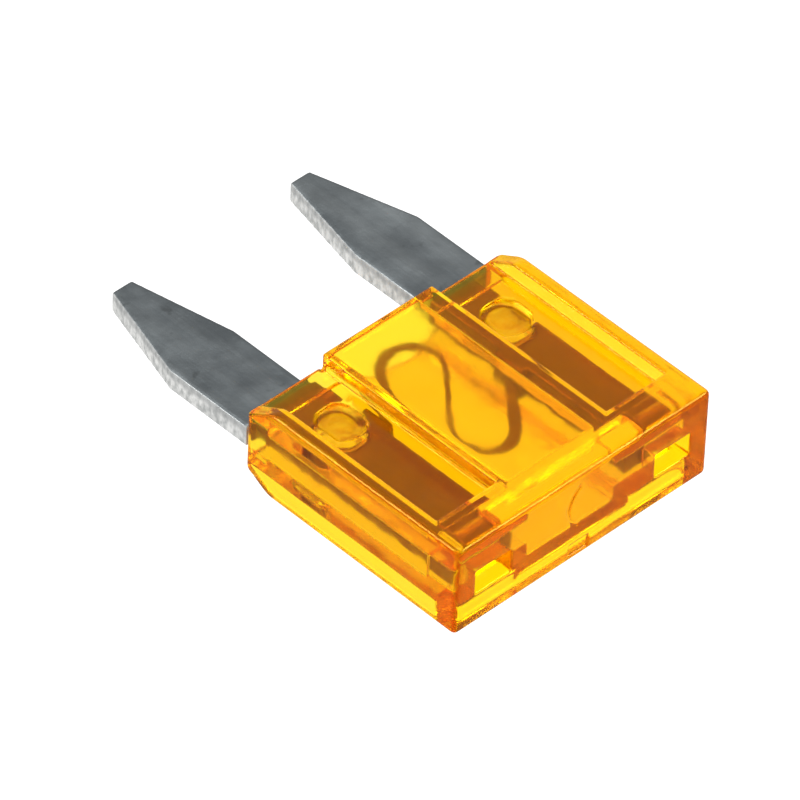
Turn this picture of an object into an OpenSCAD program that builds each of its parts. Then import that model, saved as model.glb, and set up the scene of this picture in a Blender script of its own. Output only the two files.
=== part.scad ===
// Small automotive blade fuse: a clear moulded housing around one stamped zinc strip.
// It lies on one of its two large faces. X runs across the two blades, +Y points to
// their tips and +Z is up. The origin is the centre of the footprint, at the base.

/* [Housing] */
// Width over the two narrow sides
body_w = 11.1; // [10.9:0.1:11.4]
// Length from the closed end to the open end
body_l = 9.5; // [9.2:0.1:10.4]
// Thickness between the two large faces
body_t = 3.6; // [3.4:0.1:4.2]
// Length of the solid, full-height bar at the closed end
head_l = 1.55; // [1.2:0.05:1.8]
// Length of that bar's foot, which is shorter on the underside
foot_l = 1.05; // [0.9:0.05:1.2]
// Radius of the four upright corners
corner_r = 0.2; // [0.1:0.05:0.6]

/* [Window and pockets] */
// Width of the raised window over the fuse link
window_w = 4.84; // [4.4:0.02:5]
// How far the window ends short of the open end
window_setback = 0.12; // [0.08:0.02:0.4]
// Depth of the pockets beside the window, on both large faces
pocket_depth = 0.65; // [0.4:0.05:0.8]
// Width of the rim along the outside of each pocket
rim_w = 0.57; // [0.35:0.01:0.6]
// Depth of the recess under the window
recess_depth = 0.35; // [0.2:0.05:0.4]
// Length of the slope that ends each rim at the open end
ramp_l = 1.15; // [0.8:0.05:1.4]

/* [Chamber] */
// Thickness of the walls over and under the strip
wall = 0.7; // [0.5:0.05:0.8]
// Thickness of the walls beside the blades
side_wall = 0.6; // [0.4:0.05:0.7]
// Thickness of the window's own two side walls
window_wall = 0.52; // [0.3:0.02:0.6]
// Air gap above and below each blade in its slot
slot_gap = 0.1; // [0.06:0.01:0.14]
// Air gap between the strip and the plastic everywhere else
strip_gap = 0.05; // [0.03:0.01:0.08]
// Length of the flared mouth where each blade leaves the housing
mouth_l = 0.75; // [0.4:0.05:0.9]
// How much the mouth is flared, above and below the blade
mouth_flare = 0.25; // [0.1:0.05:0.3]
// Width of the well in the closed end that a test probe reaches each blade through
well_w = 1.55; // [1.45:0.05:1.7]
// Distance of each well's inner side from the middle of the housing
well_in_x = 3.15; // [3:0.05:3.2]

/* [Strip] */
// Length of the whole fuse, from the closed end to the blade tips
overall_l = 17; // [16:0.1:18]
// Thickness of the zinc strip
strip_t = 0.8; // [0.7:0.05:0.9]
// Width of each blade outside the housing
blade_w = 2.8; // [2.6:0.05:2.9]
// Distance between the centre lines of the two blades
blade_pitch = 8.1; // [8:0.05:8.2]
// Width that is left at a blade's blunt tip
tip_w = 0.85; // [0.6:0.05:1.2]
// Length over which a blade narrows to its tip
tip_l = 3.9; // [3:0.1:4.2]
// How far each tip's middle lies inward of its blade's centre line
tip_in = 0.15; // [0:0.05:0.3]
// Width of each blade inside the housing
neck_w = 2.05; // [1.95:0.05:2.1]
// Width of the tongue that each blade shows in its probe well
tongue_w = 1.3; // [1.1:0.05:1.35]
// Distance of the tongues from the face of the closed end
tongue_y = 0.62; // [0.4:0.02:0.8]

/* [Fuse link] */
// Thickness of the thinned link
link_t = 0.12; // [0.1:0.02:0.3]
// Width of the link's two legs
leg_w = 0.42; // [0.3:0.02:0.5]
// Width of the narrow middle of the link, where it melts
melt_w = 0.17; // [0.12:0.01:0.25]
// Angle of the link's three strokes, from the X axis
stroke_angle = 50; // [47:1:53]
// Distance between neighbouring strokes
stroke_pitch = 2.02; // [1.9:0.02:2.1]
// Length of the middle stroke between the two bends
stroke_l = 2.86; // [2.7:0.02:2.96]
// Distance of the link's centre from the middle of the housing
link_x = 0.2; // [0:0.05:0.25]
// Distance of the link's centre from the closed end
link_y = 6.3; // [6.1:0.05:6.4]

/* [Stakes] */
// Width of the plug of plastic pressed through each blade
stake_w = 1.3; // [1:0.05:1.4]
// Length of that plug along the blade
stake_l = 1.6; // [1.2:0.05:1.8]
// Radius of its corners
stake_r = 0.5; // [0.3:0.05:0.5]
// Depth of the print that the staking punch leaves over it
print_depth = 0.14; // [0.05:0.01:0.2]
// Distance of the stakes from the closed end
stake_y = 7.2; // [7:0.05:7.4]

/* [Moulding marks] */
// Diameter of the arc that the ejector leaves on the closed end
ring_d = 1.86; // [1.6:0.02:2]
// Width of that arc's line
ring_line_w = 0.08; // [0.06:0.01:0.12]
// Width of the gate scar at the foot of the closed end
gate_w = 0.88; // [0.5:0.02:1.2]
// Height of the gate scar
gate_h = 0.44; // [0.3:0.02:0.5]
// Depth of both marks
mark_depth = 0.05; // [0.03:0.01:0.1]

/* [Hidden] */
$fn = 64;
EPS = 0.01;
OUT = 1;
mid_z = body_t / 2;
pocket_in_x = window_w / 2;
pocket_out_x = body_w / 2 - rim_w;
pocket_z = body_t - pocket_depth;
window_end_y = body_l - window_setback;
chamber_x = window_w / 2 - window_wall;
slot_x = body_w / 2 - side_wall;
slot_t = strip_t + 2 * slot_gap;
slot_in_x = chamber_x - 0.1;
well_out_x = well_in_x + well_w;
well_t = strip_t + 2 * strip_gap;
blade_in_x = (blade_pitch - blade_w) / 2;
blade_out_x = (blade_pitch + blade_w) / 2;
neck_in_x = blade_in_x - 0.15;
neck_out_x = neck_in_x + neck_w;
neck_y = head_l + 0.1;
tongue_in_x = neck_out_x - tongue_w;
shoulder_y = body_l + strip_gap;
stake_x = blade_pitch / 2 - 0.43;
stake_root = 0.1;
ring_x = 0.25;
ring_z = mid_z + 0.45;
gate_x = -0.15;
gate_z = 0.46;
bend_r = stroke_pitch / 2;
tab_l = 1.3;
tab_in_x = neck_in_x - 0.27;
tab_overlap = 0.1;

// Everything is drawn from the closed end at y = 0, then centred on its length.
module from_closed_end() {
    translate([0, -overall_l / 2, 0]) children();
}

module both_sides() {
    for (side = [0, 1]) mirror([side, 0, 0]) children();
}

module both_faces() {
    for (face = [0, 1]) translate([0, 0, mid_z]) mirror([0, 0, face]) translate([0, 0, -mid_z]) children();
}

// A block given by its two opposite corners.
module block(low, high) {
    translate(low) cube(high - low);
}

module rounded_plan(w, l, r) {
    translate([-w / 2 + r, 0]) square([w - 2 * r, l]);
    translate([-w / 2, r]) square([w, l - 2 * r]);
    for (x = [-w / 2 + r, w / 2 - r], y = [r, l - r]) translate([x, y]) circle(r);
}

module pocket(start_y) {
    block([pocket_in_x, start_y, pocket_z], [pocket_out_x, body_l + OUT, body_t + OUT]);
}

// The shallow recess between the pockets on the underside.
module window_recess() {
    block([-pocket_in_x, foot_l, -OUT], [pocket_in_x, body_l + OUT, recess_depth]);
}

// The wedge that slopes a rim down to the level of the pocket floor.
module rim_ramp() {
    translate([pocket_in_x, 0, 0]) rotate([90, 0, 90]) linear_extrude(body_w)
        polygon([[body_l - ramp_l, body_t], [body_l, pocket_z], [body_l + OUT, pocket_z],
                 [body_l + OUT, body_t + OUT], [body_l - ramp_l, body_t + OUT]]);
}

module window_end() {
    block([-pocket_in_x, window_end_y, -OUT], [pocket_in_x, body_l + OUT, body_t + OUT]);
}

// The hollow behind the window, where the link hangs free.
module link_chamber() {
    block([-chamber_x, head_l, wall], [chamber_x, body_l + OUT, body_t - wall]);
}

// The slot that holds one blade, with its flared mouth.
module blade_slot() {
    block([slot_in_x, head_l, mid_z - slot_t / 2], [slot_x, body_l + OUT, mid_z + slot_t / 2]);
    block([slot_in_x, body_l - mouth_l, mid_z - slot_t / 2 - mouth_flare],
          [slot_x, body_l + OUT, mid_z + slot_t / 2 + mouth_flare]);
}

// The well in front of a blade's tongue, open at the closed end's face.
module probe_well() {
    block([well_in_x, -OUT, mid_z - well_t / 2], [well_out_x, head_l + EPS, mid_z + well_t / 2]);
}

// The outline of the stake, or of the hole a given gap bigger that it passes through.
module stake_plan(gap) {
    translate([stake_x, stake_y - stake_l / 2 - gap])
        rounded_plan(stake_w + 2 * gap, stake_l + 2 * gap, stake_r + gap);
}

// The plug of plastic that is pressed through the hole in a blade.
module stake() {
    translate([0, 0, mid_z - slot_t / 2 - stake_root])
        linear_extrude(slot_t + 2 * stake_root) stake_plan(0);
}

module punch_print() {
    translate([0, 0, pocket_z - print_depth]) linear_extrude(print_depth + EPS) stake_plan(0);
}

// The ejector's mark is an arc, because its pin sat a little tilted.
module ejector_ring() {
    translate([ring_x, mark_depth, ring_z]) rotate([90, 0, 0]) difference() {
        cylinder(d = ring_d + ring_line_w, h = OUT);
        translate([0, 0, -EPS]) cylinder(d = ring_d - ring_line_w, h = OUT + 2 * EPS);
        translate([-ring_d / 4, -ring_d, -EPS]) cube([2 * ring_d, 2 * ring_d, OUT + 2 * EPS]);
    }
}

module gate_scar() {
    block([gate_x - gate_w / 2, -OUT, gate_z - gate_h / 2],
          [gate_x + gate_w / 2, mark_depth, gate_z + gate_h / 2]);
}

module housing() {
    color([0.98, 0.62, 0.03, 0.6]) from_closed_end() {
        difference() {
            linear_extrude(body_t) rounded_plan(body_w, body_l, corner_r);
            both_sides() {
                pocket(head_l);
                translate([0, 0, body_t]) mirror([0, 0, 1]) pocket(foot_l);
            }
            window_recess();
            both_sides() both_faces() {
                rim_ramp();
                punch_print();
            }
            window_end();
            link_chamber();
            both_sides() {
                blade_slot();
                probe_well();
            }
            ejector_ring();
            gate_scar();
        }
        both_sides() stake();
    }
}

// One blade: pointed and full width outside, narrower inside the housing, and narrowed
// again to a tongue in the probe well.
module blade_plan() {
    tip_x = blade_pitch / 2 - tip_in;
    difference() {
        polygon([[tongue_in_x, tongue_y], [neck_out_x, tongue_y], [neck_out_x, shoulder_y],
                 [blade_out_x, shoulder_y], [blade_out_x, overall_l - tip_l],
                 [tip_x + tip_w / 2, overall_l], [tip_x - tip_w / 2, overall_l],
                 [blade_in_x, overall_l - tip_l], [blade_in_x, shoulder_y],
                 [neck_in_x, shoulder_y], [neck_in_x, neck_y], [tongue_in_x, neck_y]]);
        stake_plan(strip_gap);
    }
}

// How far a leg runs back from its bend to reach a tab at a given distance in X.
function leg_run(reach) =
    stroke_l / 2 + (reach - stroke_pitch * sin(stroke_angle)) / cos(stroke_angle);

// Half of the link: a bend that thins from the leg to the middle stroke, and the leg.
// Its drawing runs along the strokes in X and across them in Y.
module half_link(run) {
    outer_r = bend_r + (leg_w + melt_w) / 4;
    inner_r = bend_r - (leg_w + melt_w) / 4;
    thinning = (leg_w - melt_w) / 4;
    translate([stroke_l / 2, bend_r]) intersection() {
        difference() {
            translate([0, thinning]) circle(outer_r);
            translate([0, -thinning]) circle(inner_r);
        }
        translate([0, -2 * bend_r]) square([2 * bend_r, 4 * bend_r]);
    }
    translate([stroke_l / 2 - run, 2 * bend_r - leg_w / 2]) square([run + EPS, leg_w]);
}

// The link lies flat in the strip's plane. Its legs meet the tabs a little inside them.
module link_plan() {
    reach = tab_in_x + tab_overlap;
    translate([link_x, link_y]) rotate(stroke_angle) {
        translate([-stroke_l / 2 - EPS, -melt_w / 2]) square([stroke_l + 2 * EPS, melt_w]);
        half_link(leg_run(reach + link_x));
        rotate(180) half_link(leg_run(reach - link_x));
    }
}

// The short tab on a blade's inner edge that a leg of the link grows out of.
module link_tab() {
    block([-neck_in_x - EPS, link_y - 0.1, mid_z - strip_t / 2],
          [-tab_in_x, link_y - 0.1 + tab_l, mid_z + strip_t / 2]);
}

module fuse_element() {
    color([0.62, 0.64, 0.65]) from_closed_end() {
        translate([0, 0, mid_z - strip_t / 2]) linear_extrude(strip_t)
            for (side = [0, 1]) mirror([side, 0]) blade_plan();
        translate([0, 0, mid_z - link_t / 2]) linear_extrude(link_t) link_plan();
        link_tab();
        translate([0, 2 * link_y, 0]) rotate(180) link_tab();
    }
}

housing();
fuse_element();
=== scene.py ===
import math

import bpy
import numpy as np
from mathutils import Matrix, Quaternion, Vector


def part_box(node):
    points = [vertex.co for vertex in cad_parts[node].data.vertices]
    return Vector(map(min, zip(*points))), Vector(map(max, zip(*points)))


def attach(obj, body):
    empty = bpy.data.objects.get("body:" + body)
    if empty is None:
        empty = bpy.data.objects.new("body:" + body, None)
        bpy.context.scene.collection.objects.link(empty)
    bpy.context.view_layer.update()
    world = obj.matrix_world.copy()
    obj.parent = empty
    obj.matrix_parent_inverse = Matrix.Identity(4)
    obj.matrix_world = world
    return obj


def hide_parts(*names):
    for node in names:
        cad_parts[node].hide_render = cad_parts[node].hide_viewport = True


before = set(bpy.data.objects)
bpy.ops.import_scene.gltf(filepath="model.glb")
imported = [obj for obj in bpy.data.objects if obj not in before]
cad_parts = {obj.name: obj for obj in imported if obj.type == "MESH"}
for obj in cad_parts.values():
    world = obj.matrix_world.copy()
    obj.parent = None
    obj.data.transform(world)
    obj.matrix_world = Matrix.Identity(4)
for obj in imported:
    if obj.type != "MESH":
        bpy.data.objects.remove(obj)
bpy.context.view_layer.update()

# ---------------------------------------------------------------------------------------
# The housing: one clear amber polycarbonate moulding, open between the blades. It was
# injected at the foot of its closed end, pushed over the strip, and staked through the
# two blades with a hot punch. Lengths are in millimetres from the closed end's foot.
# ---------------------------------------------------------------------------------------
MM = 0.001
housing_low, housing_high = (np.array(corner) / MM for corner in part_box("housing"))
body_w, body_l, body_t = housing_high - housing_low
closed_end_y = housing_low[1]
mid_z = body_t / 2

corner_r, edge_r = 0.2, 0.22
head_l, foot_l = 1.55, 1.05
window_half_w, window_setback, step_r = 2.42, 0.12, 0.05
pocket_depth, pocket_r = 0.65, 0.07
recess_depth, recess_overlap = 0.35, 0.3
rim_w, ramp_l, ramp_r = 0.57, 1.15, 0.1
wall, side_wall, hollow_r = 0.7, 0.6, 0.05
chamber_half_w, chamber_r = 1.9, 0.15
slot_half_t, slot_r = 0.5, 0.1
mouth_l, mouth_flare, mouth_r = 0.75, 0.25, 0.06
well_in_x, well_out_x, well_half_h = 3.15, 4.7, 0.45
well_overrun, well_r = 0.1, 0.08
stake_x, stake_y = 3.62, 7.2
stake_half_w, stake_half_l, stake_corner_r = 0.65, 0.8, 0.5
stake_inset, stake_foot_r = 0.1, 0.04
print_depth, print_margin, print_r = 0.14, 0.03, 0.05
curl_depth, curl_turn = 0.05, 9

arc_x, arc_z, arc_r = 0.25, 2.25, 0.93
arc_half_line, arc_end_x, arc_depth = 0.04, -0.22, 0.04
scar_x, scar_z, scar_half_w, scar_half_h = -0.15, 0.46, 0.44, 0.22
scar_corner_r, scar_depth = 0.06, 0.08
mark_r = 0.02


def rounded_and(a, b, r):
    """The depth field of what two solids share. Where both are closer than r to their
    skins, the field is the distance from a circle of radius r, which rounds the edge."""
    inside = np.minimum(np.maximum(a, b), -r)
    return inside + np.hypot(np.maximum(a + r, 0), np.maximum(b + r, 0))


def rounded_cut(a, b, r):
    """The depth field of solid a with solid b taken out, its new edges rounded to r."""
    return rounded_and(a, -b, r)


def rounded_join(a, b, r):
    """The depth field of two solids together, with a hollow fillet of radius r between."""
    return -rounded_and(-a, -b, r)


def graded_lines(low, high, planes, fine, coarse, reach):
    """Grid lines from low to high: one every coarse step, and within reach of each plane
    one every fine step, so that small radii are smooth and flat faces stay light. A line
    less than 0.45 of a fine step past the one before it is left out."""
    lines = [np.arange(low, high + coarse, coarse)]
    lines += [np.arange(plane - reach, plane + reach + fine / 2, fine) for plane in planes]
    lines = np.unique(np.round(np.concatenate(lines), 4))
    keep = np.concatenate(([True], np.diff(lines) > fine * 0.45))
    return lines[keep]


def skin_of(field, xs, ys, zs):
    """The surface where a field on a grid is zero. Every grid edge that crosses zero has a
    point where the straight line between its two values does. Each cell that such edges
    bound has one vertex at the mean of their points, and each such edge has one face,
    through the vertices of the four cells around it."""
    cells = tuple(n - 1 for n in field.shape)
    total, count = np.zeros(cells + (3,)), np.zeros(cells)
    inside = field < 0
    grid = (xs, ys, zs)
    crossings = []
    for axis in range(3):
        near = np.moveaxis(field, axis, 0)[:-1]
        far = np.moveaxis(field, axis, 0)[1:]
        crossed = (near < 0) != (far < 0)
        share = np.where(crossed, near / np.where(crossed, near - far, 1), 0)
        step = np.diff(grid[axis])[:, None, None]
        zero_at = grid[axis][:-1, None, None] + share * step
        others = [a for a in range(3) if a != axis]
        point = np.zeros(crossed.shape + (3,))
        point[..., axis] = zero_at
        point[..., others[0]] = grid[others[0]][None, :, None]
        point[..., others[1]] = grid[others[1]][None, None, :]
        point *= crossed[..., None]
        for j in (0, 1):
            for k in (0, 1):
                part = (slice(None), slice(j, cells[others[0]] + j), slice(k, cells[others[1]] + k))
                total += np.moveaxis(point[part], 0, axis)
                count += np.moveaxis(crossed[part], 0, axis)
        crossings.append((axis, others, crossed, near < 0))
    used = count > 0
    number = np.full(cells, -1)
    number[used] = np.arange(used.sum())
    vertices = total[used] / count[used][:, None]
    faces = []
    for axis, others, crossed, near_inside in crossings:
        i, j, k = np.nonzero(crossed[:, 1:-1, 1:-1])
        leaving = near_inside[:, 1:-1, 1:-1][i, j, k]
        around = np.moveaxis(number, axis, 0)
        corners = [around[i, j, k], around[i, j + 1, k],
                   around[i, j + 1, k + 1], around[i, j, k + 1]]
        quad = np.stack(corners, 1)
        turn = leaving if axis != 1 else ~leaving
        faces.append(np.where(turn[:, None], quad, quad[:, ::-1]))
    return vertices, np.concatenate(faces)


def solid_piece(name, shells, material):
    """One object from a list of closed skins, each given as its vertices and its faces.
    Y moves from the closed end's foot to the fuse's own origin, and millimetres turn
    into metres."""
    starts = np.cumsum([0] + [len(v) for v, f in shells])[:-1]
    vertices = np.concatenate([v for v, f in shells]) + (0, closed_end_y, 0)
    faces = np.concatenate([f + start for (v, f), start in zip(shells, starts)])
    mesh = bpy.data.meshes.new(name)
    mesh.vertices.add(len(vertices))
    mesh.vertices.foreach_set("co", (vertices * MM).ravel())
    mesh.loops.add(faces.size)
    mesh.loops.foreach_set("vertex_index", faces.ravel())
    mesh.polygons.add(len(faces))
    mesh.polygons.foreach_set("loop_start", np.arange(0, faces.size, 4))
    mesh.polygons.foreach_set("use_smooth", np.ones(len(faces), bool))
    mesh.update(calc_edges=True)
    mesh.validate()
    mesh.materials.append(material)
    piece = bpy.data.objects.new(name, mesh)
    bpy.context.scene.collection.objects.link(piece)
    return piece


def rounded_box(a, b, half_a, half_b, r):
    """The depth field of a rectangle with rounded corners, centred where a and b are 0:
    the distance to a rectangle smaller by r on every side, less r."""
    a, b = np.abs(a) - half_a + r, np.abs(b) - half_b + r
    return np.hypot(np.maximum(a, 0), np.maximum(b, 0)) + np.minimum(np.maximum(a, b), 0) - r


def housing_field(x, y, z):
    """The housing's depth field. A slab with rounded corners in plan loses the pockets,
    the recess on its underside, the wedges that slope its rims, the step at the window's
    open end, the chamber, the blade slots and the probe wells. It gains the stakes, and
    the punch sinks a print with a curl in it into each. It is alike about X = 0, and about
    mid height but for the recess and the closed end's bar, which is shorter below."""
    side, height = np.abs(x), np.abs(z - mid_z)
    plan = rounded_box(x, y - body_l / 2, body_w / 2, body_l / 2, corner_r)
    solid = rounded_and(plan, height - body_t / 2, edge_r)

    pocket_floor = body_t / 2 - pocket_depth
    beside = np.maximum(window_half_w - side, side - (body_w / 2 - rim_w))
    bar_l = np.where(z > mid_z, head_l, foot_l)
    pocket = np.maximum(np.maximum(beside, bar_l - y), pocket_floor - height)
    recess_plan = np.maximum(side - window_half_w - recess_overlap, foot_l - y)
    recess = np.maximum(recess_plan, z - recess_depth)
    solid = rounded_cut(solid, np.minimum(pocket, recess), pocket_r)
    slope = math.atan2(pocket_depth, ramp_l)
    over_ramp = (y - (body_l - ramp_l)) * math.sin(slope) + (height - body_t / 2) * math.cos(slope)
    solid = rounded_cut(solid, np.maximum(-over_ramp, window_half_w - side), ramp_r)
    step = np.maximum(side - window_half_w, (body_l - window_setback) - y)
    solid = rounded_cut(solid, step, step_r)

    chamber = rounded_and(side - chamber_half_w, height - (body_t / 2 - wall), chamber_r)
    slot = np.maximum(side - (body_w / 2 - side_wall), height - slot_half_t)
    hollow = np.maximum(rounded_join(chamber, slot, slot_r), head_l - y)
    mouth = np.maximum(side - (body_w / 2 - side_wall), height - slot_half_t - mouth_flare)
    hollow = rounded_join(hollow, np.maximum(mouth, body_l - mouth_l - y), mouth_r)
    well = rounded_box(side - (well_in_x + well_out_x) / 2, height,
                       (well_out_x - well_in_x) / 2, well_half_h, well_r)
    hollow = np.minimum(hollow, np.maximum(well, y - head_l - well_overrun))
    solid = rounded_cut(solid, hollow, hollow_r)

    across, along = side - stake_x, y - stake_y
    plug = rounded_box(across, along, stake_half_w, stake_half_l, stake_corner_r)
    stake = np.maximum(plug, height - pocket_floor + stake_inset)
    solid = rounded_join(solid, stake, stake_foot_r)
    outward = np.hypot(across / stake_half_w, along / stake_half_l)
    spiral = np.cos(curl_turn * outward + np.arctan2(along, across))
    curl = curl_depth * spiral * np.minimum(outward, 1)
    sunk = np.maximum(plug - print_margin, pocket_floor - print_depth + curl - height)
    return rounded_cut(solid, sunk, print_r)


def end_marks(solid, x, y, z):
    """The housing's depth field with two marks sunk in its closed end: an arc, which is
    the left part of a thin ring, and the gate's scar, a rectangle with rounded corners."""
    ring = np.abs(np.hypot(x - arc_x, z - arc_z) - arc_r) - arc_half_line
    arc = np.maximum(ring, x - arc_end_x)
    solid = rounded_cut(solid, np.maximum(arc, y - arc_depth), mark_r)
    scar = rounded_box(x - scar_x, z - scar_z, scar_half_w, scar_half_h, scar_corner_r)
    return rounded_cut(solid, np.maximum(scar, y - scar_depth), mark_r)


def mirrored(planes):
    """The planes and their mirror images about 0."""
    return [sign * plane for plane in planes for sign in (-1, 1)]


def relined(lines, low, high, step, gap):
    """Grid lines with those from low to high, and within a gap of either, taken out, and
    one put in every step from low to high."""
    kept_lines = lines[(lines < low - gap) | (lines > high + gap)]
    return np.unique(np.concatenate([kept_lines, np.arange(low, high, step)]))


margin = 0.2
fine, coarse, coarse_z = 0.045, 0.2, 0.075
reach_x, reach_y, reach_z = 0.1, 0.12, 0.11
side_in, face_in = 0.1, 0.06
x_planes = [body_w / 2 - side_in, body_w / 2 - rim_w, window_half_w, chamber_half_w,
            well_in_x, well_out_x]
y_planes = [face_in, head_l, body_l - ramp_l, body_l - mouth_l, body_l - window_setback]
z_planes = [body_t / 2 - face_in, body_t / 2 - pocket_depth, body_t / 2 - wall,
            slot_half_t, slot_half_t + mouth_flare, well_half_h]
housing_xs = graded_lines(-body_w / 2 - margin, body_w / 2 + margin, mirrored(x_planes),
                          fine, coarse, reach_x)
housing_ys = graded_lines(-margin, body_l + margin, y_planes, fine, coarse, reach_y)
housing_zs = mid_z + graded_lines(-body_t / 2 - margin, body_t / 2 + margin,
                                  mirrored(z_planes), fine, coarse_z, reach_z)

marks_low, marks_high, marks_step, marks_gap = -0.75, 0.4, 0.04, 0.03
stake_reach, stake_step, stake_gap = 0.95, 0.065, 0.02
housing_xs = relined(housing_xs, marks_low, marks_high, marks_step, marks_gap)
housing_ys = relined(housing_ys, stake_y - stake_reach, stake_y + stake_reach,
                     stake_step, stake_gap)
grid = np.meshgrid(housing_xs, housing_ys, housing_zs, indexing="ij")
housing_depth = end_marks(housing_field(*grid), *grid)
housing_shell = skin_of(housing_depth, housing_xs, housing_ys, housing_zs)

clear_amber, scorched_amber = (1, 0.73, 0.12, 1), (0.8, 0.42, 0.03, 1)
amber_sheen, amber_depth = (1, 0.7, 0.1, 1), (0.995, 0.95, 0.0, 1)
polish, haze_most, print_haze, scorch_least = 0.08, 0.2, 0.28, 0.35
print_from_r, print_full_r = 0.9, 0.65
wave_h = 0.06

amber = bpy.data.materials.new("amber_polycarbonate")
amber.use_nodes = True
nodes, links = amber.node_tree.nodes, amber.node_tree.links
plastic = nodes["Principled BSDF"]
plastic.inputs["Transmission Weight"].default_value = 1.0
plastic.inputs["IOR"].default_value = 1.58
plastic.inputs["Specular IOR Level"].default_value = 0.2
plastic.inputs["Specular Tint"].default_value = amber_sheen
depth_tint = nodes.new("ShaderNodeVolumeAbsorption")
depth_tint.inputs["Color"].default_value = amber_depth
depth_tint.inputs["Density"].default_value = 2500
links.new(depth_tint.outputs["Volume"], nodes["Material Output"].inputs["Volume"])

patches = bpy.data.node_groups.new("patches", "ShaderNodeTree")
patches.interface.new_socket("Vector", in_out="INPUT", socket_type="NodeSocketVector")
patches.interface.new_socket("Stretch", in_out="INPUT", socket_type="NodeSocketVector")
for name in ("Scale", "Detail", "Low", "High"):
    patches.interface.new_socket(name, in_out="INPUT", socket_type="NodeSocketFloat")
patches.interface.new_socket("Share", in_out="OUTPUT", socket_type="NodeSocketFloat")
given = patches.nodes.new("NodeGroupInput")
handed_out = patches.nodes.new("NodeGroupOutput")
stretched = patches.nodes.new("ShaderNodeMapping")
cloudy = patches.nodes.new("ShaderNodeTexNoise")
spread = patches.nodes.new("ShaderNodeMapRange")
patches.links.new(given.outputs["Vector"], stretched.inputs["Vector"])
patches.links.new(given.outputs["Stretch"], stretched.inputs["Scale"])
patches.links.new(stretched.outputs["Vector"], cloudy.inputs["Vector"])
patches.links.new(given.outputs["Scale"], cloudy.inputs["Scale"])
patches.links.new(given.outputs["Detail"], cloudy.inputs["Detail"])
patches.links.new(cloudy.outputs["Fac"], spread.inputs["Value"])
patches.links.new(given.outputs["Low"], spread.inputs["From Min"])
patches.links.new(given.outputs["High"], spread.inputs["From Max"])
patches.links.new(spread.outputs["Result"], handed_out.inputs["Share"])


def patchy(scale, detail, low=0, high=1, stretch=(1, 1, 1)):
    """The patches group placed in the material at hand. Its share is 0 where the noise is
    at low and 1 where it is at high. Scale is in features a metre."""
    placed = nodes.new("ShaderNodeGroup")
    placed.node_tree = patches
    links.new(position.outputs["Object"], placed.inputs["Vector"])
    placed.inputs["Stretch"].default_value = stretch
    placed.inputs["Scale"].default_value = scale
    placed.inputs["Detail"].default_value = detail
    placed.inputs["Low"].default_value = low
    placed.inputs["High"].default_value = high
    return placed.outputs["Share"]


def bumps(height, depth, under=None):
    """Normals bent by a height from 0 to 1 times a depth in millimetres, over any others."""
    raised = nodes.new("ShaderNodeBump")
    raised.inputs["Strength"].default_value = 1.0
    raised.inputs["Distance"].default_value = depth * MM
    links.new(height, raised.inputs["Height"])
    if under:
        links.new(under, raised.inputs["Normal"])
    return raised.outputs["Normal"]


def maths(operation, a, b):
    """A maths node of two values, each a number or a socket."""
    node = nodes.new("ShaderNodeMath")
    node.operation = operation
    for socket, value in zip(node.inputs, (a, b)):
        if isinstance(value, (int, float)):
            socket.default_value = value
        else:
            links.new(value, socket)
    return node.outputs["Value"]


def between(value, low, high, out_low=0, out_high=1):
    """A value mapped so that low gives out_low and high gives out_high, held outside."""
    ranged = nodes.new("ShaderNodeMapRange")
    ranged.inputs["From Min"].default_value = low
    ranged.inputs["From Max"].default_value = high
    ranged.inputs["To Min"].default_value = out_low
    ranged.inputs["To Max"].default_value = out_high
    links.new(value, ranged.inputs["Value"])
    return ranged.outputs["Result"]


def tinted(share, low, high):
    """A colour between low and high by a share. Either may be a colour or a socket."""
    mix = nodes.new("ShaderNodeMix")
    mix.data_type = "RGBA"
    links.new(share, mix.inputs["Factor"])
    for socket, colour in ((mix.inputs["A"], low), (mix.inputs["B"], high)):
        if isinstance(colour, tuple):
            socket.default_value = colour
        else:
            links.new(colour, socket)
    return mix.outputs["Result"]


position = nodes.new("ShaderNodeTexCoord")
axes = nodes.new("ShaderNodeSeparateXYZ")
links.new(position.outputs["Object"], axes.inputs["Vector"])
links.new(bumps(patchy(scale=520, detail=2), wave_h), plastic.inputs["Normal"])

across = maths("SUBTRACT", maths("ABSOLUTE", axes.outputs["X"], 0), stake_x * MM)
along = maths("SUBTRACT", axes.outputs["Y"], (closed_end_y + stake_y) * MM)
squares = maths("ADD", maths("MULTIPLY", across, across), maths("MULTIPLY", along, along))
from_stake = maths("SQRT", squares, 0)
on_stake = between(from_stake, print_from_r * MM, print_full_r * MM)
haze = between(patchy(scale=900, detail=4, low=0.35, high=0.7), 0, 1, polish, haze_most)
roughness = maths("ADD", haze, maths("MULTIPLY", on_stake, print_haze))
links.new(roughness, plastic.inputs["Roughness"])
scorch = between(patchy(scale=2600, detail=3, low=0.3, high=0.65), 0, 1, scorch_least, 1)
scorch = maths("MULTIPLY", on_stake, scorch)
links.new(tinted(scorch, clear_amber, scorched_amber), plastic.inputs["Base Color"])

housing = solid_piece("housing_shell", [housing_shell], amber)
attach(housing, "root")
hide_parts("housing")

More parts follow.
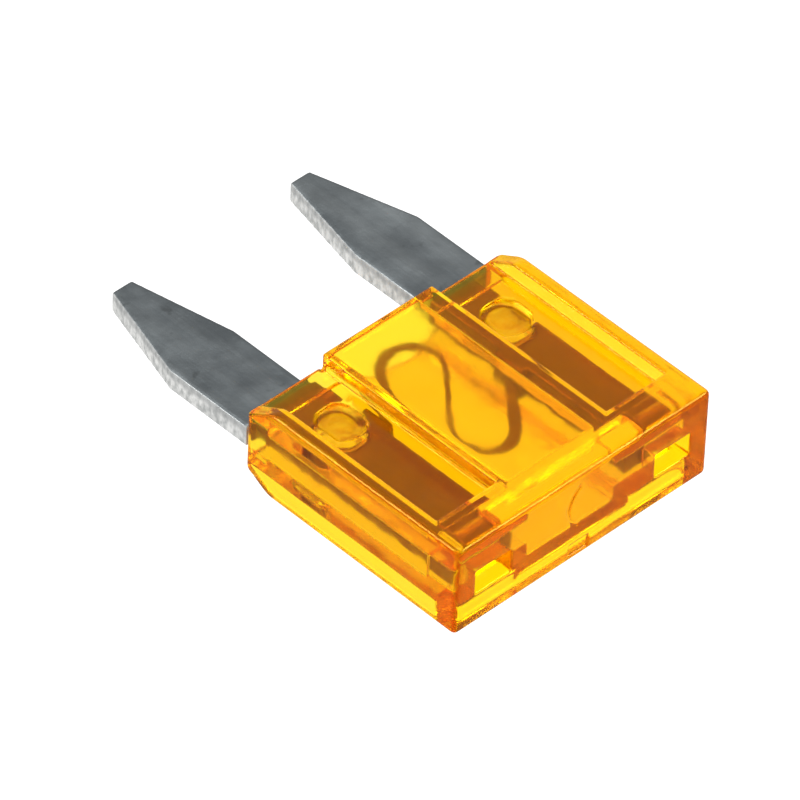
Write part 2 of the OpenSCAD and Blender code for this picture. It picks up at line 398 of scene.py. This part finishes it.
# ---------------------------------------------------------------------------------------
# The strip: two pointed blades and the fuse link, stamped in one go from zinc sheet. Its
# faces are painted dull grey, partly an oxide skin and partly painted shade for the dark
# surroundings they mirror, and its cut edges are painted pale, partly fresh-cut metal and
# partly a painted highlight for the bright table. Inside the housing it is painted warm
# amber brown, a painted light for the glow the plastic carries onto it. The link is coined
# thin.
# ---------------------------------------------------------------------------------------
strip_low, strip_high = (np.array(corner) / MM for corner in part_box("fuse_element"))
strip_half_t = (strip_high[2] - strip_low[2]) / 2
tip_y = strip_high[1] - closed_end_y
heel_y = 0.62
blade_x, blade_half_w, tip_half_w, tip_l, tip_in = 4.05, 1.4, 0.425, 3.9, 0.15
neck_in_x, neck_out_x, tongue_in_x = 2.5, 4.55, 3.25
neck_gap, shoulder_gap, shank_overlap = 0.1, 0.05, 0.2
neck_y = head_l + neck_gap
shoulder_y = body_l + shoulder_gap
tip_r, tab_r, upper_edge_r, lower_edge_r = 0.06, 0.08, 0.1, 0.05
tab_in_x, tab_l, tab_drop = 2.23, 1.3, 0.1
hole_gap = 0.05

link_half_t, link_edge_r = 0.06, 0.02
leg_half_w, neck_half_w, neck_growth = 0.21, 0.085, 1.5
stroke_angle = math.radians(50)
bend_r, stroke_l, link_x, link_y = 1.01, 2.86, 0.2, 6.3
leg_overlap, middle_overlap = 0.1, 0.01


def blade_field(x, y, z):
    """Both blades' depth field. In plan a blade is the space inside straight lines: its
    two sides, the two tapers and the blunt tip outside the housing, and inside it a
    narrower neck that ends in a tongue. A tab stands on its inner edge, nearer the tip on
    the left blade than on the right, and a long hole goes through. The sheet's faces meet
    the cut edges in a small radius, which is larger above than below."""
    side = np.abs(x)
    off_centre = np.abs(side - blade_x)
    taper_y = y - (tip_y - tip_l)
    outer = math.atan2(blade_half_w - tip_half_w + tip_in, tip_l)
    inner = math.atan2(blade_half_w - tip_half_w - tip_in, tip_l)
    past_outer = (side - blade_x - blade_half_w) * math.cos(outer) + taper_y * math.sin(outer)
    past_inner = (blade_x - side - blade_half_w) * math.cos(inner) + taper_y * math.sin(inner)
    point = np.maximum(off_centre - blade_half_w, np.maximum(past_outer, past_inner))
    point = rounded_and(point, y - tip_y, tip_r)
    point = np.maximum(point, shoulder_y - y)
    inner_edge = np.where(y < shoulder_y, neck_in_x, blade_x - blade_half_w)
    neck = np.maximum(np.maximum(inner_edge - side, side - neck_out_x), neck_y - y)
    tongue = np.maximum(np.maximum(tongue_in_x - side, side - neck_out_x), heel_y - y)
    shank = np.maximum(np.minimum(neck, tongue), y - shoulder_y - shank_overlap)
    plan = np.minimum(point, shank)
    turned_y = np.where(x < 0, y, 2 * link_y - y)
    tab = np.maximum(np.abs(side - neck_in_x) - (neck_in_x - tab_in_x),
                     np.abs(turned_y - link_y - tab_l / 2 + tab_drop) - tab_l / 2)
    plan = rounded_join(plan, tab, tab_r)
    hole = rounded_box(side - stake_x, y - stake_y,
                       stake_half_w + hole_gap, stake_half_l + hole_gap, stake_corner_r)
    plan = np.maximum(plan, -hole)
    sheet_r = np.where(z > mid_z, upper_edge_r, lower_edge_r)
    return rounded_and(plan, np.abs(z - mid_z) - strip_half_t, sheet_r)


def half_link_field(u, n, reach):
    """The plan field of half the link, in its own frame: u runs along the middle stroke
    and n across it. It is the distance from the centre line, which is half the stroke, a
    half circle and a straight leg back, less a half width that grows round the bend from
    the neck's to the leg's, as the share of the bend's width that is behind, to the power
    of neck_growth. The half runs a little past the middle, so that the two halves join."""
    bent = np.maximum(u - stroke_l / 2, 0)
    from_line = np.abs(np.hypot(bent, n - bend_r) - bend_r)
    round_bend = np.clip(n / (2 * bend_r), 0, 1) ** neck_growth
    half_w = neck_half_w + (leg_half_w - neck_half_w) * round_bend
    leg_l = stroke_l / 2 + (reach - 2 * bend_r * math.sin(stroke_angle)) / math.cos(stroke_angle)
    past_end = np.where(n > bend_r, stroke_l / 2 - leg_l - u, -middle_overlap - u)
    return np.maximum(from_line - half_w, past_end)


def link_field(x, y, z):
    """The link's depth field: one half and the same half turned half a turn, each with
    the leg that reaches its own tab, in a sheet of the link's thickness."""
    u = (x - link_x) * math.cos(stroke_angle) + (y - link_y) * math.sin(stroke_angle)
    n = (y - link_y) * math.cos(stroke_angle) - (x - link_x) * math.sin(stroke_angle)
    reach = tab_in_x + leg_overlap
    left_half = half_link_field(u, n, reach + link_x)
    right_half = half_link_field(-u, -n, reach - link_x)
    plan = np.minimum(left_half, right_half)
    return rounded_and(plan, np.abs(z - mid_z) - link_half_t, link_edge_r)


tab_room = 0.6
blade_fine, blade_coarse, blade_reach = 0.04, 0.08, 0.1
sheet_fine, sheet_coarse, sheet_reach, sheet_in = 0.025, 0.12, 0.08, 0.02
blade_xs = graded_lines(neck_in_x - tab_room, body_w / 2 + margin,
                        [neck_in_x, neck_out_x, body_w / 2],
                        blade_fine, blade_coarse, blade_reach)
blade_ys = graded_lines(heel_y - margin, tip_y + margin, [heel_y, neck_y, shoulder_y, tip_y],
                        blade_fine, blade_coarse, blade_reach)
blade_zs = mid_z + graded_lines(-strip_half_t - margin, strip_half_t + margin,
                                mirrored([strip_half_t - sheet_in]),
                                sheet_fine, sheet_coarse, sheet_reach)
blade_shells = []
for lines in (blade_xs, -blade_xs[::-1]):
    grid = np.meshgrid(lines, blade_ys, blade_zs, indexing="ij")
    blade_shells.append(skin_of(blade_field(*grid), lines, blade_ys, blade_zs))

link_room_x, link_low_y, link_high_y, link_room_z = 2.6, 3.0, 9.6, 0.05
link_step, link_step_z = 0.04, 0.02
link_top = link_half_t + link_room_z
link_xs = np.arange(-link_room_x, link_room_x, link_step)
link_ys = np.arange(link_low_y, link_high_y, link_step)
link_zs = mid_z + np.arange(-link_top, link_top + link_step_z / 2, link_step_z)
grid = np.meshgrid(link_xs, link_ys, link_zs, indexing="ij")
link_shell = skin_of(link_field(*grid), link_xs, link_ys, link_zs)

dull_zinc_and_shade, pale_zinc_and_shade = (0.17, 0.19, 0.2, 1), (0.24, 0.265, 0.275, 1)
rolled_zinc, spot_zinc = (0.36, 0.385, 0.39, 1), (0.09, 0.1, 0.1, 1)
torn_zinc_and_highlight, sheared_zinc_and_highlight = (0.46, 0.47, 0.46, 1), (0.84, 0.84, 0.82, 1)
burnished_zinc, housed_zinc_painted_light = (0.3, 0.31, 0.31, 1), (0.34, 0.145, 0.035, 1)
rolled_most, spot_most, burnished_most = 0.35, 0.5, 0.55
edge_from, edge_full = 0.02, 0.05
burnish_from, burnish_full = 0.05, 0.2
painted_light_fade = 0.05
sheet_metallic, edge_metallic = 1.0, 0.2
smoothest, roughest = 0.34, 0.5
dent_h, rolled_h, pit_h = 0.07, 0.25, 0.006

zinc = bpy.data.materials.new("stamped_zinc")
zinc.use_nodes = True
nodes, links = zinc.node_tree.nodes, zinc.node_tree.links
metal = nodes["Principled BSDF"]
position = nodes.new("ShaderNodeTexCoord")
axes = nodes.new("ShaderNodeSeparateXYZ")
links.new(position.outputs["Object"], axes.inputs["Vector"])
height, length = axes.outputs["Z"], axes.outputs["Y"]

mottle = patchy(scale=700, detail=5, low=0.35, high=0.68)
rolled = patchy(scale=900, detail=6, low=0.38, high=0.66, stretch=(1, 0.06, 1))
spots = patchy(scale=1500, detail=2, low=0.66, high=0.74)
# The sheet faces' grey: a random mottle, kept dark partly for the oxide skin and partly as painted
# shade for the dark surroundings the faces mirror.
sheet = tinted(mottle, dull_zinc_and_shade, pale_zinc_and_shade)
sheet = tinted(maths("MULTIPLY", rolled, rolled_most), sheet, rolled_zinc)
sheet = tinted(maths("MULTIPLY", spots, spot_most), sheet, spot_zinc)

from_mid = maths("ABSOLUTE", maths("SUBTRACT", height, mid_z * MM), 0)
on_edge = between(from_mid, (strip_half_t - edge_from) * MM, (strip_half_t - edge_full) * MM)
# The cut edges' colour: fresh-cut metal, made pale partly as a painted highlight for the bright
# table the edges mirror.
tears = patchy(scale=5200, detail=6, low=0.36, high=0.64, stretch=(1, 1, 0.55))
sheared_and_highlight = tinted(tears, torn_zinc_and_highlight, sheared_zinc_and_highlight)
burnish = between(height, (mid_z + burnish_from) * MM, (mid_z + burnish_full) * MM)
sheared_and_highlight = tinted(maths("MULTIPLY", burnish, burnished_most), sheared_and_highlight, burnished_zinc)

# Inside the housing the strip is painted warm amber brown: painted light for the glow the amber
# plastic carries onto the metal, fading out at the housing's mouth.
mouth_y = closed_end_y + shoulder_y
housed_painted_light = between(length, (mouth_y + painted_light_fade) * MM, (mouth_y - painted_light_fade) * MM)
metal_colour = tinted(housed_painted_light, tinted(on_edge, sheet, sheared_and_highlight), housed_zinc_painted_light)
links.new(metal_colour, metal.inputs["Base Color"])
links.new(between(on_edge, 0, 1, sheet_metallic, edge_metallic), metal.inputs["Metallic"])
links.new(between(mottle, 0, 1, smoothest, roughest), metal.inputs["Roughness"])

dents = maths("ADD", patchy(scale=600, detail=3), maths("MULTIPLY", rolled, rolled_h))
dented = bumps(dents, dent_h)
pitted = bumps(patchy(scale=9000, detail=3), pit_h, dented)
links.new(pitted, metal.inputs["Normal"])

strip = solid_piece("zinc_strip", blade_shells + [link_shell], zinc)
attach(strip, "root")
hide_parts("fuse_element")

# ---------------------------------------------------------------------------------------
# The stage: a white light table under the fuse, soft boxes over and beside it, and a
# surround that is white seen straight or through the plastic and grey to all else. The
# table is bright in the same way, and dim where it is only mirrored.
# ---------------------------------------------------------------------------------------
half, gap = 0.6, 0.04 * MM
table_glow, mirrored_glow = 1.27, 0.2
table_mesh = bpy.data.meshes.new("light_table")
corners = [(-half, -half, -gap), (half, -half, -gap), (half, half, -gap), (-half, half, -gap)]
table_mesh.from_pydata(corners, [], [(0, 1, 2, 3)])
table = bpy.data.objects.new("light_table", table_mesh)
bpy.context.scene.collection.objects.link(table)
opal = bpy.data.materials.new("opal_table")
opal.use_nodes = True
nodes, links = opal.node_tree.nodes, opal.node_tree.links
glow = nodes.new("ShaderNodeEmission")
seen = nodes.new("ShaderNodeLightPath")
mirrored_ray = nodes.new("ShaderNodeMath")
mirrored_ray.operation = "SUBTRACT"
mirrored_ray.use_clamp = True
links.new(seen.outputs["Is Glossy Ray"], mirrored_ray.inputs[0])
links.new(seen.outputs["Is Transmission Ray"], mirrored_ray.inputs[1])
dimmed = nodes.new("ShaderNodeMapRange")
dimmed.inputs["To Min"].default_value = table_glow
dimmed.inputs["To Max"].default_value = mirrored_glow
links.new(mirrored_ray.outputs["Value"], dimmed.inputs["Value"])
links.new(dimmed.outputs["Result"], glow.inputs["Strength"])
links.new(glow.outputs["Emission"], nodes["Material Output"].inputs["Surface"])
table_mesh.materials.append(opal)

world = bpy.data.worlds.new("studio")
bpy.context.scene.world = world
world.use_nodes = True
nodes, links = world.node_tree.nodes, world.node_tree.links
surround = nodes["Background"]
surround.inputs["Color"].default_value = (0.5, 0.5, 0.5, 1)
behind = nodes.new("ShaderNodeBackground")
behind.inputs["Color"].default_value = (1, 1, 1, 1)
seen = nodes.new("ShaderNodeLightPath")
straight = nodes.new("ShaderNodeMath")
straight.operation = "MAXIMUM"
links.new(seen.outputs["Is Camera Ray"], straight.inputs[0])
links.new(seen.outputs["Is Transmission Ray"], straight.inputs[1])
either = nodes.new("ShaderNodeMixShader")
links.new(straight.outputs["Value"], either.inputs["Fac"])
links.new(surround.outputs["Background"], either.inputs[1])
links.new(behind.outputs["Background"], either.inputs[2])
links.new(either.outputs["Shader"], nodes["World Output"].inputs["Surface"])

bpy.context.scene.view_settings.view_transform = "Standard"


def soft_box(name, spot, size, power):
    """A square area light at a spot, facing the fuse: size is its edge in metres."""
    lamp = bpy.data.lights.new(name, "AREA")
    lamp.size = size
    lamp.energy = power
    box = bpy.data.objects.new(name, lamp)
    box.location = spot
    box.rotation_euler = (-Vector(spot)).to_track_quat("-Z", "Y").to_euler()
    bpy.context.scene.collection.objects.link(box)


soft_box("overhead_box", (0, 0, 0.35), 0.3, 0.5)
soft_box("left_box", (-0.24, 0.18, 0.18), 0.12, 0.5)
soft_box("right_box", (0.18, -0.24, 0.18), 0.12, 0.5)

view = bpy.data.cameras.new("camera")
camera = bpy.data.objects.new("camera", view)
bpy.context.scene.collection.objects.link(camera)
bpy.context.scene.camera = camera
view.lens = 476.75
view.clip_start, view.clip_end = 0.01, 5
camera_turn, camera_height, camera_lean = (math.radians(a) for a in (45.64, 43.07, 2.53))
camera_away = 334
aim = Vector((-0.69, -0.95, 1.8)) * MM
toward_camera = Vector((-math.sin(camera_turn) * math.cos(camera_height),
                        -math.cos(camera_turn) * math.cos(camera_height),
                        math.sin(camera_height)))
camera.location = aim + toward_camera * camera_away * MM
camera.rotation_mode = "QUATERNION"
lean = Quaternion((0, 0, 1), camera_lean)
camera.rotation_quaternion = toward_camera.to_track_quat("Z", "Y") @ lean

clear_bounces = 48
bpy.context.scene.cycles.max_bounces = clear_bounces
bpy.context.scene.cycles.transmission_bounces = clear_bounces
bpy.context.scene.cycles.glossy_bounces = clear_bounces
